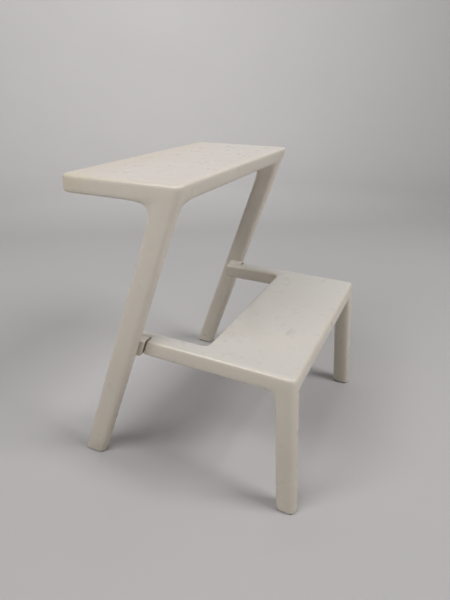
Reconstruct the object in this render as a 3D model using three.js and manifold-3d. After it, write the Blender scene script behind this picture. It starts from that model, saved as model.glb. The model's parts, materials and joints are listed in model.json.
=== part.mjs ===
// Two-step folding stool, moulded plastic, in millimetres, +Z up.
// Origin: on the floor, in the middle of the stool. -Y is the front, where the lower step is.
import * as THREE from 'three';
import { mergeVertices } from 'three/addons/utils/BufferGeometryUtils.js';
import Module from 'manifold-3d';

const wasm = await Module();
wasm.setup();

// ---------- sizes that can be set by themselves ----------

// upper moulding: top step and the two leaning legs
const topHeight = 500;          // floor to the top step's surface
const topDepth = 206;           // front to back at the surface
const topThickness = 30;
const topFrontY = -18.6;        // front edge of the surface
const rearLegRun = 176;         // how far back a leg's front face goes from surface to floor
const rearLegSplay = 18;        // how far outward each leg goes from surface to floor
const rearLegWidth = 24;        // across, seen from the front
const rearLegDepth = 41;        // front to back, measured level
const rearLegFillet = 29;       // radius behind the leg, under the step
const rearLegInnerFillet = 24;  // radius inside the leg, under the step

// lower moulding: lower step, its two arms and the two front legs
const stepHeight = 243;         // floor to the lower step's surface
const stepWidth = 390;
const legGap = 1.75;            // lower step's side to the leg beside it, at the step's surface
const stepDepth = 154;
const stepThickness = 30;
const stepFrontY = -180.6;
const armWidth = 31;
const armFillet = 14;           // radius in plan between step and arm
const frontLegRun = 18;         // how far forward a leg goes from surface to floor
const frontLegSplay = 11;
const frontLegWidth = 26;
const frontLegDepth = 34;
const frontLegFillet = 12;      // radius behind the leg, under the arm
const frontLegInnerFillet = 20; // radius inside the leg, under the step

// hinge, the same on both sides
const pivotAboveArmBottom = 12;
const pivotBehindLegFront = 8.6; // level distance from the leg's front face to the pivot
const tongueWidth = 17;          // the part of the arm that passes inside the boss
const tongueEndReach = 11;       // material behind the pivot
const tongueEndRound = 11;       // radius in plan at the tongue's inner rear corner
const bossForward = 4;           // boss face ahead of the leg's front face, square to it
const bossSunk = 1;              // how far the boss runs into the leg
const bossEdge = 1;              // rounding of the boss's edges
const pinRadius = 4;
const pinInset = 3.4;            // pin end to the tongue's inner face
const pinEndWall = 3;            // boss material beyond the pin
const bushWall = 1.6;
const bushFlange = 1;            // thickness of the bush's flange, between tongue and boss
const flangeReach = 4.3;         // flange beyond the bush, all round
const capReach = 2.3;            // cap beyond the bush, all round
const capThickness = 2;
const padThickness = 1.2;
const padMargin = 2.5;           // pad's edges inside the faces that it lies between

// hollow undersides and their covers
const skin = 6;                 // step thickness above the hollow
const wall = 12;                // step edge around the hollow
const ledge = 4;                // shelf that a cover lies on
const coverThickness = 2.5;
const ribThickness = 3;
const ribDrop = 4;              // rib edge to the cover
const screwPostRadius = 6;
const screwRadius = 1.75;
const screwLength = 9;
const screwHeadRadius = 3.5;
const screwHeadHeight = 1.4;
const screwRecess = 1.5;        // how deep a head is let into its cover
const slotLength = 4.4;
const slotWidth = 1;
const slotDepth = 0.8;
const screwInset = 16;          // post centre to the hollow's corner, both ways

// rubber feet
const footInset = 2.5;          // foot outline inside the leg's outline
const footThickness = 3;
const footProud = 1;            // how far the foot stands below the leg
const footStemHeight = 14;
const footStemWall = 7;         // leg material around the stem
const footStemCorner = 2;

// edges and clearances
const edgeRadius = 6;           // long edges of steps and arms
const legEdgeRadius = 9;        // upright edges of the legs
const cornerRadius = 11;        // step corners in plan
const webEdgeRadius = 3;        // rims of the fillet webs
const faceStep = 0.5;           // leg faces lie this far inside the step's faces
const webStep = 1;              // fillet webs lie this far inside the leg's faces
const seatGap = 0.3;            // between pieces that touch
const runningGap = 0.1;         // pin in bush, radial
const roundSides = 32;
const postSides = 16;
const cornerSteps = 3;          // flats in a quarter turn of an outline's corner
const endSteps = 5;             // flats in a fillet and in the tongue's rounded end
const cutPast = 1;              // how far a cut runs past what it cuts

// ---------- sizes that follow ----------

const rearLegSlope = rearLegRun / topHeight;
const rearLegFlare = rearLegSplay / topHeight;
const frontLegSlope = frontLegRun / stepHeight;
const frontLegFlare = frontLegSplay / stepHeight;
const topWidth = 2 * (stepWidth / 2 + legGap + rearLegWidth - rearLegFlare * (topHeight - stepHeight));
const topBottom = topHeight - topThickness;
const stepBottom = stepHeight - stepThickness;
const topBackY = topFrontY + topDepth;
const stepBackY = stepFrontY + stepDepth;
const pivotZ = stepBottom + pivotAboveArmBottom;
const pivotY = rearLegFrontY(pivotZ) + pivotBehindLegFront;
const lean = Math.atan(rearLegSlope);
const legPlaneDistance = pivotBehindLegFront * Math.cos(lean);
const bossFace = legPlaneDistance + bossForward;
const padFace = bossFace + seatGap + padThickness;
const armFace = padFace + seatGap;
const bossSwing = armFace - seatGap;  // the boss's lower corners reach this far from the pivot
const armOuterX = stepWidth / 2;
const armInnerX = armOuterX - armWidth;
const tongueOuterX = armInnerX + tongueWidth;
const bossInnerX = tongueOuterX + seatGap + bushFlange + seatGap;
const bossOuterX = rearLegInnerX(stepBottom) + bossSunk;
const boreRadius = pinRadius + runningGap;
const bushRadius = boreRadius + bushWall;
const bushFlangeRadius = bushRadius + flangeReach;
const capRadius = bushRadius + capReach;
const capFaceX = armInnerX + seatGap;
const pinStartX = armInnerX + pinInset;
const pinEndX = bossOuterX - pinEndWall;
const tongueEndY = pivotY + tongueEndReach;
const armStartY = stepBackY - 2 * cornerRadius;

function rearLegFrontY(z) {
  return topFrontY + rearLegSlope * (topHeight - z);
}

function rearLegInnerX(z) {
  return topWidth / 2 + rearLegFlare * (topHeight - z) - rearLegWidth;
}

// ---------- solids ----------

function toSolid(geometry) {
  const bare = geometry.index ? geometry.toNonIndexed() : geometry.clone();
  bare.deleteAttribute('normal');
  bare.deleteAttribute('uv');
  const merged = mergeVertices(bare, 1e-4);
  const mesh = new wasm.Mesh({
    numProp: 3,
    vertProperties: new Float32Array(merged.attributes.position.array),
    triVerts: new Uint32Array(merged.index.array),
  });
  return new wasm.Manifold(mesh);
}

function toGeometry(solid) {
  const mesh = solid.getMesh();
  const geometry = new THREE.BufferGeometry();
  geometry.setAttribute('position', new THREE.BufferAttribute(mesh.vertProperties, 3));
  geometry.setIndex(new THREE.BufferAttribute(mesh.triVerts, 1));
  geometry.computeVertexNormals();
  return geometry;
}

// axes of an outline: its two directions and the way it's pushed
const sideView = new THREE.Matrix4().makeBasis(
  new THREE.Vector3(0, 1, 0), new THREE.Vector3(0, 0, 1), new THREE.Vector3(1, 0, 0));
const planView = new THREE.Matrix4();
const frontView = new THREE.Matrix4().makeBasis(
  new THREE.Vector3(1, 0, 0), new THREE.Vector3(0, 0, 1), new THREE.Vector3(0, -1, 0));

function outlineOf(points) {
  return new THREE.Shape(points.map(([a, b]) => new THREE.Vector2(a, b)));
}

// pushes an outline from one level to another along its view's axis, with its rims rounded by bevel
function pushed(points, from, to, view, bevel = 0) {
  const geometry = new THREE.ExtrudeGeometry(outlineOf(points), {
    depth: to - from - 2 * bevel,
    bevelEnabled: bevel > 0,
    bevelThickness: bevel,
    bevelSize: bevel,
    bevelOffset: -bevel,
    bevelSegments: 2,
    steps: 1,
  });
  geometry.translate(0, 0, from + bevel);
  geometry.applyMatrix4(view);
  return geometry;
}

// moves each level of a geometry sideways and back in step with its distance below top
function leaned(geometry, top, slopeY, flareX) {
  const shear = new THREE.Matrix4().set(
    1, 0, -flareX, flareX * top,
    0, 1, -slopeY, slopeY * top,
    0, 0, 1, 0,
    0, 0, 0, 1);
  return geometry.applyMatrix4(shear);
}

function block(x0, x1, y0, y1, z0, z1) {
  const geometry = new THREE.BoxGeometry(x1 - x0, y1 - y0, z1 - z0);
  return geometry.translate((x0 + x1) / 2, (y0 + y1) / 2, (z0 + z1) / 2);
}

function roundedOutline(a0, a1, b0, b1, radius) {
  const points = [];
  const corners = [[a1, b1, 0], [a0, b1, 1], [a0, b0, 2], [a1, b0, 3]];
  for (const [a, b, turn] of corners) {
    const centreA = a + (turn === 0 || turn === 3 ? -radius : radius);
    const centreB = b + (turn < 2 ? -radius : radius);
    for (let step = 0; step <= cornerSteps; step += 1) {
      const angle = (turn + step / cornerSteps) * Math.PI / 2;
      points.push([centreA + radius * Math.cos(angle), centreB + radius * Math.sin(angle)]);
    }
  }
  return points;
}

// web that fills the corner between two directions with a hollow curve of the given radius
function filletOutline(corner, alongA, alongB, radius, sunk) {
  const a = new THREE.Vector2(...alongA).normalize();
  const b = new THREE.Vector2(...alongB).normalize();
  const half = Math.acos(a.dot(b)) / 2;
  const reach = radius / Math.tan(half);
  const apex = new THREE.Vector2(...corner);
  const middle = a.clone().add(b).normalize();
  const centre = apex.clone().addScaledVector(middle, radius / Math.sin(half));
  const start = apex.clone().addScaledVector(a, reach);
  const end = apex.clone().addScaledVector(b, reach);
  const startTurn = start.clone().sub(centre);
  const sweep = Math.PI - 2 * half;
  const sign = Math.sign(startTurn.cross(end.clone().sub(centre)));
  const points = [start.clone().addScaledVector(b, -sunk)];
  for (let step = 0; step <= endSteps; step += 1) {
    const turned = startTurn.clone().rotateAround(new THREE.Vector2(), sign * sweep * step / endSteps);
    points.push(centre.clone().add(turned));
  }
  points.push(end.clone().addScaledVector(a, -sunk));
  points.push(apex.clone().addScaledVector(middle, -sunk));
  return points.map((point) => [point.x, point.y]);
}

function rod(radius, x0, x1, y, z) {
  const geometry = new THREE.CylinderGeometry(radius, radius, x1 - x0, roundSides);
  geometry.rotateZ(-Math.PI / 2);
  return geometry.translate((x0 + x1) / 2, y, z);
}

function post(radius, x, y, z0, z1) {
  const geometry = new THREE.CylinderGeometry(radius, radius, z1 - z0, postSides);
  geometry.rotateX(Math.PI / 2);
  return geometry.translate(x, y, (z0 + z1) / 2);
}

// the same geometry on the left (-1) or right (+1) side
function onSide(geometry, side) {
  if (side > 0) return geometry;
  const mirrored = geometry.applyMatrix4(new THREE.Matrix4().makeScale(-1, 1, 1));
  const flipped = mirrored.index ? mirrored.toNonIndexed() : mirrored;
  const position = flipped.attributes.position;
  for (let corner = 0; corner < position.count; corner += 3) {
    const first = [position.getX(corner), position.getY(corner), position.getZ(corner)];
    position.setXYZ(corner, position.getX(corner + 2), position.getY(corner + 2), position.getZ(corner + 2));
    position.setXYZ(corner + 2, ...first);
  }
  return flipped;
}

function sideSolid(geometry, side) {
  return toSolid(onSide(geometry, side));
}

const sides = [['left', -1], ['right', 1]];

// ---------- steps ----------

// slab with a leaning front face, rounded in plan and along its edges
function stepSlab(halfWidth, frontY, backY, bottom, top, slope) {
  const side = roundedOutline(frontY, backY, bottom, top, edgeRadius);
  const across = leanedFront(pushed(side, -halfWidth, halfWidth, sideView), frontY, backY, top, slope);
  const plan = roundedOutline(-halfWidth, halfWidth, frontY, backY, cornerRadius);
  const upright = leanedFront(
    pushed(plan, bottom - cutPast, top + cutPast, planView), frontY, backY, top, slope);
  const ends = roundedOutline(-halfWidth, halfWidth, bottom, top, edgeRadius);
  const through = pushed(ends, -backY - topDepth, -frontY + topDepth, frontView);
  return toSolid(across).intersect(toSolid(upright)).intersect(toSolid(through));
}

// leans the front of a plan prism and leaves its back upright
function leanedFront(geometry, frontY, backY, top, slope) {
  const position = geometry.attributes.position;
  for (let i = 0; i < position.count; i += 1) {
    const share = Math.min(1, Math.max(0, (backY - position.getY(i)) / (backY - frontY)));
    position.setY(i, position.getY(i) + share * slope * (top - position.getZ(i)));
  }
  return geometry;
}

// hollow under a step: a cut, less its ribs and screw posts
function hollowCut(area, bottom, top) {
  const deep = block(area.x0, area.x1, area.y0, area.y1, bottom - cutPast, top - skin);
  let cut = toSolid(deep);
  const shelf = block(
    area.x0 - ledge, area.x1 + ledge, area.y0 - ledge, area.y1 + ledge,
    bottom - cutPast, bottom + coverThickness + seatGap);
  cut = cut.add(toSolid(shelf));
  const ribBottom = bottom + coverThickness + ribDrop;
  for (const x of area.ribs) {
    const rib = block(
      x - ribThickness / 2, x + ribThickness / 2, area.y0 - cutPast, area.y1 + cutPast, ribBottom, top);
    cut = cut.subtract(toSolid(rib));
  }
  for (const [x, y] of area.screws) {
    const postBottom = bottom + coverThickness + seatGap;
    cut = cut.subtract(toSolid(post(screwPostRadius, x, y, postBottom, top)));
    const holeTop = postBottom + screwLength;
    cut = cut.add(toSolid(post(screwRadius + seatGap, x, y, bottom, holeTop)));
  }
  return cut;
}

function hollowArea(x0, x1, y0, y1) {
  const span = x1 - x0;
  return {
    x0, x1, y0, y1,
    ribs: [x0 + span / 4, x0 + span / 2, x1 - span / 4],
    screws: [
      [x0 + screwInset, y0 + screwInset], [x1 - screwInset, y0 + screwInset],
      [x0 + screwInset, y1 - screwInset], [x1 - screwInset, y1 - screwInset],
    ],
  };
}

const topHollow = hollowArea(
  -topWidth / 2 + rearLegWidth + rearLegInnerFillet + wall,
  topWidth / 2 - rearLegWidth - rearLegInnerFillet - wall,
  topFrontY + rearLegSlope * topThickness + wall,
  topBackY - wall);

const stepHollow = hollowArea(
  -stepWidth / 2 + frontLegWidth + frontLegInnerFillet + wall,
  stepWidth / 2 - frontLegWidth - frontLegInnerFillet - wall,
  stepFrontY + frontLegDepth + frontLegFillet / 2,
  stepBackY - wall);

function coverSolid(area, bottom) {
  const reach = ledge - seatGap;
  let cover = toSolid(block(
    area.x0 - reach, area.x1 + reach, area.y0 - reach, area.y1 + reach,
    bottom, bottom + coverThickness));
  for (const [x, y] of area.screws) {
    const recess = post(screwHeadRadius + seatGap, x, y, bottom - cutPast, bottom + screwRecess);
    const hole = post(screwRadius + seatGap, x, y, bottom - cutPast, bottom + coverThickness + cutPast);
    cover = cover.subtract(toSolid(recess)).subtract(toSolid(hole));
  }
  return cover;
}

function screwSolid(x, y, bottom) {
  const headTop = bottom + screwRecess - seatGap;
  const headBottom = headTop - screwHeadHeight;
  const head = toSolid(post(screwHeadRadius, x, y, headBottom, headTop));
  const shank = toSolid(post(screwRadius, x, y, headBottom + slotDepth, headTop + screwLength));
  const slot = block(
    x - slotLength / 2, x + slotLength / 2, y - slotWidth / 2, y + slotWidth / 2,
    headBottom - cutPast, headBottom + slotDepth);
  return head.add(shank).subtract(toSolid(slot));
}

// ---------- legs ----------

function rearLeg(side) {
  const half = topWidth / 2;
  const section = roundedOutline(
    half - rearLegWidth, half - faceStep, topFrontY + faceStep, topFrontY + rearLegDepth, legEdgeRadius);
  const geometry = pushed(section, footProud, topHeight - edgeRadius, planView);
  return sideSolid(leaned(geometry, topHeight, rearLegSlope, rearLegFlare), side);
}

function rearLegWeb(side) {
  const half = topWidth / 2;
  const cornerY = rearLegFrontY(topBottom) + rearLegDepth;
  const outline = filletOutline(
    [cornerY, topBottom], [1, 0], [rearLegSlope, -1], rearLegFillet, edgeRadius);
  const geometry = pushed(
    outline, half - rearLegWidth + webStep, half - faceStep - webStep, sideView, webEdgeRadius);
  return sideSolid(leaned(geometry, topHeight, 0, rearLegFlare), side);
}

function rearLegInnerWeb(side) {
  const outline = filletOutline(
    [topWidth / 2 - rearLegWidth, topBottom], [-1, 0], [0, -1], rearLegInnerFillet, edgeRadius);
  const geometry = pushed(
    outline, -(topFrontY + rearLegDepth - webStep), -(topFrontY + faceStep + webStep),
    frontView, webEdgeRadius);
  return sideSolid(leaned(geometry, topHeight, rearLegSlope, rearLegFlare), side);
}

function frontLeg(side) {
  const half = stepWidth / 2;
  const section = roundedOutline(
    half - frontLegWidth, half - faceStep, stepFrontY + faceStep, stepFrontY + frontLegDepth, legEdgeRadius);
  const geometry = pushed(section, footProud, stepHeight - edgeRadius, planView);
  return sideSolid(leaned(geometry, stepHeight, -frontLegSlope, frontLegFlare), side);
}

function frontLegWeb(side) {
  const half = stepWidth / 2;
  const cornerY = stepFrontY + frontLegDepth - frontLegSlope * stepThickness;
  const outline = filletOutline(
    [cornerY, stepBottom], [1, 0], [-frontLegSlope, -1], frontLegFillet, edgeRadius);
  const geometry = pushed(
    outline, half - frontLegWidth + webStep, half - faceStep - webStep, sideView, webEdgeRadius);
  return sideSolid(leaned(geometry, stepHeight, 0, frontLegFlare), side);
}

function frontLegInnerWeb(side) {
  const outline = filletOutline(
    [stepWidth / 2 - frontLegWidth, stepBottom], [-1, 0], [0, -1], frontLegInnerFillet, edgeRadius);
  const geometry = pushed(
    outline, -(stepFrontY + frontLegDepth - webStep), -(stepFrontY + faceStep + webStep),
    frontView, webEdgeRadius);
  return sideSolid(leaned(geometry, stepHeight, -frontLegSlope, frontLegFlare), side);
}

// ---------- feet ----------

// foot plate and stem for a leg, grown by gap for the socket that holds it
function footShape(leg, gap) {
  const inset = footInset - gap;
  const plate = roundedOutline(
    leg.outerX - leg.width + inset, leg.outerX - inset,
    leg.frontY + inset, leg.frontY + leg.depth - inset, legEdgeRadius - footInset);
  const stemIn = footStemWall - gap;
  const stem = roundedOutline(
    leg.outerX - leg.width + stemIn, leg.outerX - stemIn,
    leg.frontY + stemIn, leg.frontY + leg.depth - stemIn, footStemCorner);
  const low = gap > 0 ? -cutPast : 0;
  const stemTop = footThickness + footStemHeight + gap;
  const plateSolid = leaned(
    pushed(plate, low, footThickness + gap, planView), leg.height, leg.slope, leg.flare);
  const stemSolid = leaned(
    pushed(stem, footThickness / 2, stemTop, planView), leg.height, leg.slope, leg.flare);
  return { plateSolid, stemSolid };
}

function footSolid(leg, gap, side) {
  const { plateSolid, stemSolid } = footShape(leg, gap);
  return sideSolid(plateSolid, side).add(sideSolid(stemSolid, side));
}

const rearFootLeg = {
  outerX: topWidth / 2, width: rearLegWidth, frontY: topFrontY, depth: rearLegDepth,
  height: topHeight, slope: rearLegSlope, flare: rearLegFlare,
};
const frontFootLeg = {
  outerX: stepWidth / 2, width: frontLegWidth, frontY: stepFrontY, depth: frontLegDepth,
  height: stepHeight, slope: -frontLegSlope, flare: frontLegFlare,
};

// ---------- hinge ----------

// point at a distance ahead of the pivot, square to the leg, at a height above the pivot
function aheadOfPivot(distance, height) {
  const y = pivotY - (distance + height * Math.sin(lean)) / Math.cos(lean);
  return [y, pivotZ + height];
}

// knuckle on the leg's inner face that the tongue turns against; its lower corners stay close
// enough to the pivot to pass the arm's end as the stool folds
function bossSolid(side) {
  const up = stepHeight - pivotZ;
  const down = stepBottom - pivotZ;
  const heel = Math.sqrt(bossSwing ** 2 - down ** 2);
  const outline = [aheadOfPivot(bossFace, up)];
  const from = lean + Math.acos(bossFace / bossSwing);
  const to = Math.max(from, Math.asin(-down / bossSwing));
  for (let s = 0; s <= cornerSteps; s++) {
    const angle = from + (to - from) * s / cornerSteps;
    outline.push([pivotY - bossSwing * Math.cos(angle), pivotZ - bossSwing * Math.sin(angle)]);
  }
  outline.push([pivotY + heel, stepBottom], [tongueEndY, stepHeight]);
  const body = sideSolid(pushed(outline, bossInnerX, bossOuterX, sideView, bossEdge), side);
  const bore = sideSolid(
    rod(pinRadius + seatGap, bossInnerX - cutPast, pinEndX + seatGap, pivotY, pivotZ), side);
  return { body, bore };
}

function padSolid(side) {
  const bottom = -padFace * Math.sin(lean);  // straight ahead of the pivot, so that it swings clear
  const top = stepHeight - pivotZ - padMargin;
  const outline = [
    aheadOfPivot(padFace, bottom), aheadOfPivot(padFace, top),
    aheadOfPivot(bossFace + seatGap, top), aheadOfPivot(bossFace + seatGap, bottom),
  ];
  const from = bossInnerX + padMargin;
  const to = armOuterX - padMargin;
  return sideSolid(pushed(outline, from, to, sideView), side);
}

function armSolid(side) {
  const section = roundedOutline(armInnerX, armOuterX, stepBottom, stepHeight, edgeRadius);
  const bar = sideSolid(pushed(section, -tongueEndY, -armStartY, frontView), side);
  const beyond = tongueEndY + cutPast;
  const endPlan = [
    [armInnerX - cutPast, armStartY - cutPast], [armOuterX + cutPast, armStartY - cutPast],
    [armOuterX + cutPast, beyond], [armInnerX + tongueEndRound, beyond],
  ];
  for (let step = 0; step <= endSteps; step += 1) {
    const angle = (1 + step / endSteps) * Math.PI / 2;
    endPlan.push([
      armInnerX + tongueEndRound * (1 + Math.cos(angle)),
      tongueEndY - tongueEndRound * (1 - Math.sin(angle)),
    ]);
  }
  endPlan.push([armInnerX - cutPast, tongueEndY - tongueEndRound]);
  const plan = sideSolid(pushed(endPlan, stepBottom - cutPast, stepHeight + cutPast, planView), side);
  const behind = [
    aheadOfPivot(armFace, stepHeight - pivotZ + cutPast),
    aheadOfPivot(armFace, stepBottom - pivotZ - cutPast),
    [beyond, stepBottom - cutPast], [beyond, stepHeight + cutPast],
  ];
  const notch = sideSolid(pushed(behind, tongueOuterX, armOuterX + cutPast, sideView), side);
  return bar.intersect(plan).subtract(notch);
}

function armWeb(side) {
  const outline = filletOutline([armInnerX, stepBackY], [-1, 0], [0, 1], armFillet, edgeRadius);
  const web = pushed(outline, stepBottom + webStep, stepHeight - webStep, planView, webEdgeRadius);
  return sideSolid(web, side);
}

function tongueCuts(side) {
  const bushBore = rod(bushRadius + seatGap, pinStartX - seatGap, tongueOuterX + cutPast, pivotY, pivotZ);
  const capBore = rod(
    capRadius + seatGap, armInnerX - cutPast, capFaceX + capThickness + seatGap, pivotY, pivotZ);
  return sideSolid(bushBore, side).add(sideSolid(capBore, side));
}

function pinSolid(side) {
  return sideSolid(rod(pinRadius, pinStartX, pinEndX, pivotY, pivotZ), side);
}

function bushSolid(side) {
  const flangeX = tongueOuterX + seatGap;
  const sleeve = sideSolid(rod(bushRadius, pinStartX, flangeX + bushFlange / 2, pivotY, pivotZ), side);
  const flange = sideSolid(rod(bushFlangeRadius, flangeX, flangeX + bushFlange, pivotY, pivotZ), side);
  const bore = sideSolid(
    rod(boreRadius, pinStartX - cutPast, flangeX + bushFlange + cutPast, pivotY, pivotZ), side);
  return sleeve.add(flange).subtract(bore);
}

function capSolid(side) {
  return sideSolid(rod(capRadius, capFaceX, capFaceX + capThickness, pivotY, pivotZ), side);
}

// ---------- mouldings ----------

function upperMoulding() {
  let body = stepSlab(topWidth / 2, topFrontY, topBackY, topBottom, topHeight, rearLegSlope);
  for (const [, side] of sides) {
    const boss = bossSolid(side);
    body = body.add(rearLeg(side)).add(rearLegWeb(side)).add(rearLegInnerWeb(side));
    body = body.add(boss.body).subtract(boss.bore);
    body = body.subtract(footSolid(rearFootLeg, seatGap, side));
  }
  return body.subtract(hollowCut(topHollow, topBottom, topHeight));
}

function lowerMoulding() {
  let body = stepSlab(stepWidth / 2, stepFrontY, stepBackY, stepBottom, stepHeight, -frontLegSlope);
  for (const [, side] of sides) {
    body = body.add(frontLeg(side)).add(frontLegWeb(side)).add(frontLegInnerWeb(side));
    body = body.add(armSolid(side)).add(armWeb(side)).subtract(tongueCuts(side));
    body = body.subtract(footSolid(frontFootLeg, seatGap, side));
  }
  return body.subtract(hollowCut(stepHollow, stepBottom, stepHeight));
}

// ---------- the stool ----------

const finishes = {
  shell: { color: 0xcfcabd, roughness: 0.42, metalness: 0 },
  cover: { color: 0xc6c1b4, roughness: 0.55, metalness: 0 },
  rubber: { color: 0x3a3936, roughness: 0.85, metalness: 0 },
  acetal: { color: 0xe4e2da, roughness: 0.35, metalness: 0 },
  steel: { color: 0x9b9c9e, roughness: 0.35, metalness: 1 },
};

const stool = new THREE.Group();

function place(name, solid, finish) {
  const mesh = new THREE.Mesh(toGeometry(solid), new THREE.MeshStandardMaterial(finishes[finish]));
  mesh.name = name;
  stool.add(mesh);
}

function placeScrews(name, area, bottom) {
  area.screws.forEach(([x, y], index) => {
    place(`${name}_${index + 1}`, screwSolid(x, y, bottom), 'steel');
  });
}

place('upper_frame', upperMoulding(), 'shell');
place('upper_cover', coverSolid(topHollow, topBottom), 'cover');
placeScrews('upper_screw', topHollow, topBottom);
place('lower_frame', lowerMoulding(), 'shell');
place('lower_cover', coverSolid(stepHollow, stepBottom), 'cover');
placeScrews('lower_screw', stepHollow, stepBottom);
for (const [name, side] of sides) {
  place(`rear_foot_${name}`, footSolid(rearFootLeg, 0, side), 'rubber');
  place(`front_foot_${name}`, footSolid(frontFootLeg, 0, side), 'rubber');
  place(`hinge_pin_${name}`, pinSolid(side), 'steel');
  place(`hinge_bush_${name}`, bushSolid(side), 'acetal');
  place(`hinge_cap_${name}`, capSolid(side), 'shell');
  place(`stop_pad_${name}`, padSolid(side), 'rubber');
}

export default stool;
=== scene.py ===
import json
import math
import bmesh
import bpy
from mathutils import Matrix, Vector


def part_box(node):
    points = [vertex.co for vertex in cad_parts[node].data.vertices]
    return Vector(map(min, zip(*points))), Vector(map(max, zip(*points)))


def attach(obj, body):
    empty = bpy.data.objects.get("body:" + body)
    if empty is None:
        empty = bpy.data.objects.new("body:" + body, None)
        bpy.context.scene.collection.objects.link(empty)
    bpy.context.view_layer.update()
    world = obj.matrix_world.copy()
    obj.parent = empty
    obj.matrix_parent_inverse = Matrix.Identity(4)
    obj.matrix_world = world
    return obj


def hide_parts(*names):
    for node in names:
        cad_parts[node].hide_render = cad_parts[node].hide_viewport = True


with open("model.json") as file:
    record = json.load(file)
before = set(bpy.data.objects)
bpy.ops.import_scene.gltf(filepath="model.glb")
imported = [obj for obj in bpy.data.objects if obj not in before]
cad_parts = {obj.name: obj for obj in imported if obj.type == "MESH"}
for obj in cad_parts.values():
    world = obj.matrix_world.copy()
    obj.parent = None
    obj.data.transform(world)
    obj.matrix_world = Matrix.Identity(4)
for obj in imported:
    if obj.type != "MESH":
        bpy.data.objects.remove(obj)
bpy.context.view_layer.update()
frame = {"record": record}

mm = 0.001                        # lengths below are millimetres, meshes are metres
hinge = frame["record"]["behaviour"]["joints"][0]
pivotY, pivotZ = hinge["pos_m"][1] / mm, hinge["pos_m"][2] / mm


def nodeBox(node):
    low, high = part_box(node)
    return low / mm, high / mm


top = dict(
    height=500.0, depth=206.0, thickness=30.0, front=-18.6,
    half=211.1,                   # half the width at the surface
    legWidth=23.6, legDepth=41.0,
    run=176.0, splay=18.0,        # how far a leg leans back and outward, surface to floor
    edge=7.0, corner=11.0,        # rounding of the rims, and of the upright edges
    rearFillet=29.0, innerFillet=22.0,
    spareX=(60, 110), spareY=135, # further lines of the cage, which keep long faces even
    spareZ=(16, 40, 120, 250, 350))

step = dict(
    height=243.0, depth=153.8, thickness=30.0, front=-180.4,
    half=195.0,
    legWidth=26.0, legDepth=33.8,
    run=18.0, splay=11.0,         # this leg leans forward
    edge=7.0, corner=11.0,
    rearFillet=12.0, innerFillet=20.0,
    armWidth=31.0, armFillet=14.0,
    spareX=60, spareStep=100, spareArm=222,
    spareZ=(16, 40, 100, 150),
    tongueAtLeg=(12, 13, 14))     # where the lines beside the tongue run once they reach the leg

joint = dict(
    tongueWidth=17.0,
    tongueEnd=11.0,               # behind the pivot
    tongueRound=5.0,
    armFace=13.9,                 # cut end of the arm, ahead of the pivot and square to the leg
    knuckleFace=12.1,
    gap=0.5, flangeRoom=1.6,      # tongue to knuckle, and where the bush's rim lies
    sunk=3.0,                     # how far the knuckle runs into the leg
    crisp=1.2, round=3.0,         # rounding of the arm's cut edges, and of the knuckle's
    arcSteps=6,                   # of the knuckle's swept lower face
    pinPlay=0.3, pinPoint=0.8,
    bushPlay=0.1, bushWall=1.6, bushRound=0.3, flange=1.0,
    padSlack=0.08, padMargin=0.3, padRound=0.4, swingSlack=0.3)

cap = dict(flat=1.6, shoulder=0.5, dome=0.15, edge=0.6)   # its domed face, from the rim inward

footing = dict(bottom=1.0, rim=1.6, inset=2.5, thickness=3.0, gap=0.3, corner=6.5, round=0.8)

lean = math.atan(top["run"] / top["height"])
armInner = step["half"] - step["armWidth"]
tongueOuter = armInner + joint["tongueWidth"]
knuckleInner = tongueOuter + joint["gap"]
footLevels = [footing["bottom"] + share * footing["rim"] for share in (0, 1, 3)]


arcPull = 0.189                   # moves a cage corner in so that its smooth surface is an arc
meetingPull = 0.77                # less of it where several edges meet


def newMesh(name, points, faces):
    mesh = bpy.data.meshes.new(name)
    mesh.from_pydata([Vector(p) * mm for p in points], [], faces)
    mesh.update()
    return mesh


def newPiece(name, mesh):
    piece = bpy.data.objects.new(name, mesh)
    bpy.context.scene.collection.objects.link(piece)
    return piece


def bake(piece):                  # what the modifiers make becomes the piece's own mesh
    shown = piece.evaluated_get(bpy.context.evaluated_depsgraph_get())
    made = bpy.data.meshes.new_from_object(shown)
    old = piece.data
    piece.modifiers.clear()
    piece.data = made
    bpy.data.meshes.remove(old)
    return piece


def cut(piece, tool, operation="DIFFERENCE"):
    modifier = piece.modifiers.new("cut", "BOOLEAN")
    modifier.operation = operation
    modifier.solver = "EXACT"
    modifier.object = tool
    bake(piece)
    bpy.data.objects.remove(tool)
    return piece


def soften(piece, width, segments=3, angle=40):
    bevel = piece.modifiers.new("edges", "BEVEL")
    bevel.width = width * mm
    bevel.segments = segments
    bevel.limit_method = "ANGLE"
    bevel.angle_limit = math.radians(angle)
    return bake(piece)


def polish(piece, angle=32):      # smooth shading, with the crisp edges kept
    piece.data.shade_smooth()
    piece.data.set_sharp_from_angle(angle=math.radians(angle))
    weighted = piece.modifiers.new("normals", "WEIGHTED_NORMAL")
    weighted.keep_sharp = True
    return bake(piece)


def outward(piece):
    work = bmesh.new()
    work.from_mesh(piece.data)
    bmesh.ops.remove_doubles(work, verts=work.verts, dist=1e-7)
    bmesh.ops.recalc_face_normals(work, faces=work.faces)
    work.to_mesh(piece.data)
    work.free()
    return piece


def prism(name, outline, low, high, put):
    # outline pushed from low to high; put(a, b, level) gives the place of a corner
    count = len(outline)
    points = [put(a, b, level) for level in (low, high) for a, b in outline]
    faces = [list(range(count))[::-1], list(range(count, 2 * count))]
    for i in range(count):
        j = (i + 1) % count
        faces.append([i, j, j + count, i + count])
    return outward(newPiece(name, newMesh(name, points, faces)))


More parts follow.
